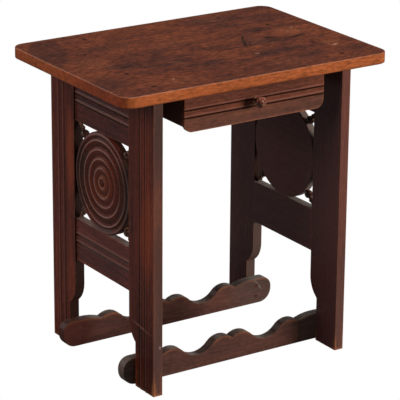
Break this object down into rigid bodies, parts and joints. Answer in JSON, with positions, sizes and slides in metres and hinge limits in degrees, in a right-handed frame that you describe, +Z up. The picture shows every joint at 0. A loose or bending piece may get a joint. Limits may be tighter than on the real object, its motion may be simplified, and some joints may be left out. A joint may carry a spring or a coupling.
{
  "type": "tavern table",
  "caption": "Small wooden tavern table with board-framed ends, turned ringed roundels, scalloped stretchers, a round-cornered top and a beaded drawer hung under it.",
  "frame": {"origin": "on the floor under the middle of the top", "axes": "+Z up, +X along the long side of the top, +Y to the back, so the drawer opens towards -Y"},
  "size_m": [0.5994, 0.4335, 0.61],
  "materials": {
    "top_wood": "satin varnish, red-brown",
    "frame_wood": "satin varnish, dark brown",
    "turned_wood": "satin varnish, dark brown",
    "drawer_wood": "satin varnish, brown",
    "box_wood": "dull stain",
    "plug_wood": "satin varnish, end grain",
    "steel": "plain wood screws and nails"
  },
  "bodies": {
    "frame": {"table_top": "top_wood", "front_left_stile": "frame_wood", "front_right_stile": "frame_wood", "back_left_stile": "frame_wood", "back_right_stile": "frame_wood", "back_rail": "frame_wood", "left_upper_rail": "frame_wood", "left_lower_rail": "frame_wood", "left_roundel": "turned_wood", "left_roundel_dowels": "box_wood", "left_corner_finials": "turned_wood", "left_top_screws": "steel", "left_top_plugs": "plug_wood", "left_drawer_hanger": "box_wood", "left_hanger_screws": "steel", "right_upper_rail": "frame_wood", "right_lower_rail": "frame_wood", "right_roundel": "turned_wood", "right_roundel_dowels": "box_wood", "right_corner_finials": "turned_wood", "right_top_screws": "steel", "right_top_plugs": "plug_wood", "right_drawer_hanger": "box_wood", "right_hanger_screws": "steel", "front_stretcher": "frame_wood", "front_stretcher_screws": "steel", "back_stretcher": "frame_wood", "back_stretcher_screws": "steel", "drawer_stop": "box_wood", "drawer_stop_screw": "steel"},
    "drawer": {"drawer_front": "drawer_wood", "drawer_left_side": "box_wood", "drawer_right_side": "box_wood", "drawer_back": "box_wood", "drawer_bottom": "box_wood", "drawer_left_lip": "box_wood", "drawer_right_lip": "box_wood", "drawer_side_nails": "steel", "drawer_bottom_nails": "steel", "drawer_knob": "turned_wood", "knob_screw": "steel"}
  },
  "joints": [
    {"name": "drawer_slide", "type": "slide", "parent": "frame", "child": "drawer", "axis": [0, -1, 0], "range_m": [0, 0.22]}
  ]
}
